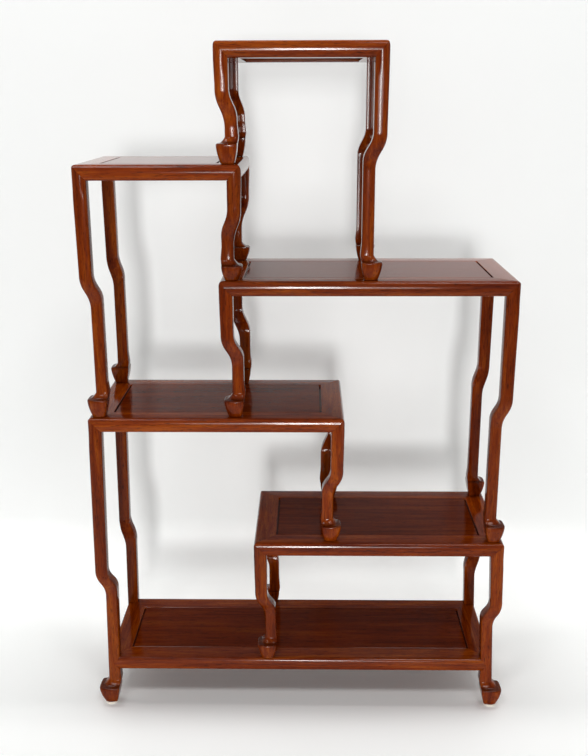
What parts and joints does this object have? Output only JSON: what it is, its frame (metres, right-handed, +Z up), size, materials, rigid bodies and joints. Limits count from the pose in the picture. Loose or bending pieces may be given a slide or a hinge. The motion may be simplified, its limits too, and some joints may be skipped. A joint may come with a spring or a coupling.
{
  "type": "display shelf",
  "caption": "Stepped hardwood display shelf of frame-and-panel tiers on bent legs with hoof feet, for showing ornaments at different heights.",
  "frame": {"origin": "centre of the footprint at floor level", "axes": "+X to the right seen from the front, +Y from front to back, +Z up"},
  "size_m": [0.5703, 0.1982, 0.896],
  "materials": {
    "leg_wood": "gloss lacquer",
    "rail_wood": "gloss lacquer",
    "panel_wood": "gloss lacquer",
    "felt": "felt"
  },
  "bodies": {
    "root": {"base_back_rail": "rail_wood", "base_batten_1": "panel_wood", "base_batten_2": "panel_wood", "base_front_rail": "rail_wood", "base_left_rail": "rail_wood", "base_panel": "panel_wood", "base_right_rail": "rail_wood", "felt_pad_back_left": "felt", "felt_pad_back_right": "felt", "felt_pad_front_left": "felt", "felt_pad_front_right": "felt", "lower_right_back_rail": "rail_wood", "lower_right_batten": "panel_wood", "lower_right_front_rail": "rail_wood", "lower_right_left_rail": "rail_wood", "lower_right_leg_back_left": "leg_wood", "lower_right_leg_back_right": "leg_wood", "lower_right_leg_front_left": "leg_wood", "lower_right_leg_front_right": "leg_wood", "lower_right_panel": "panel_wood", "lower_right_right_rail": "rail_wood", "middle_left_back_rail": "rail_wood", "middle_left_batten": "panel_wood", "middle_left_front_rail": "rail_wood", "middle_left_left_rail": "rail_wood", "middle_left_leg_back_left": "leg_wood", "middle_left_leg_back_right": "leg_wood", "middle_left_leg_front_left": "leg_wood", "middle_left_leg_front_right": "leg_wood", "middle_left_panel": "panel_wood", "middle_left_right_rail": "rail_wood", "top_back_rail": "rail_wood", "top_front_rail": "rail_wood", "top_left_rail": "rail_wood", "top_leg_back_left": "leg_wood", "top_leg_back_right": "leg_wood", "top_leg_front_left": "leg_wood", "top_leg_front_right": "leg_wood", "top_panel": "panel_wood", "top_right_rail": "rail_wood", "upper_left_back_rail": "rail_wood", "upper_left_front_rail": "rail_wood", "upper_left_left_rail": "rail_wood", "upper_left_leg_back_left": "leg_wood", "upper_left_leg_back_right": "leg_wood", "upper_left_leg_front_left": "leg_wood", "upper_left_leg_front_right": "leg_wood", "upper_left_panel": "panel_wood", "upper_left_right_rail": "rail_wood", "upper_right_back_rail": "rail_wood", "upper_right_batten": "panel_wood", "upper_right_front_rail": "rail_wood", "upper_right_left_rail": "rail_wood", "upper_right_leg_back_left": "leg_wood", "upper_right_leg_back_right": "leg_wood", "upper_right_leg_front_left": "leg_wood", "upper_right_leg_front_right": "leg_wood", "upper_right_panel": "panel_wood", "upper_right_right_rail": "rail_wood"}
  },
  "joints": []
}
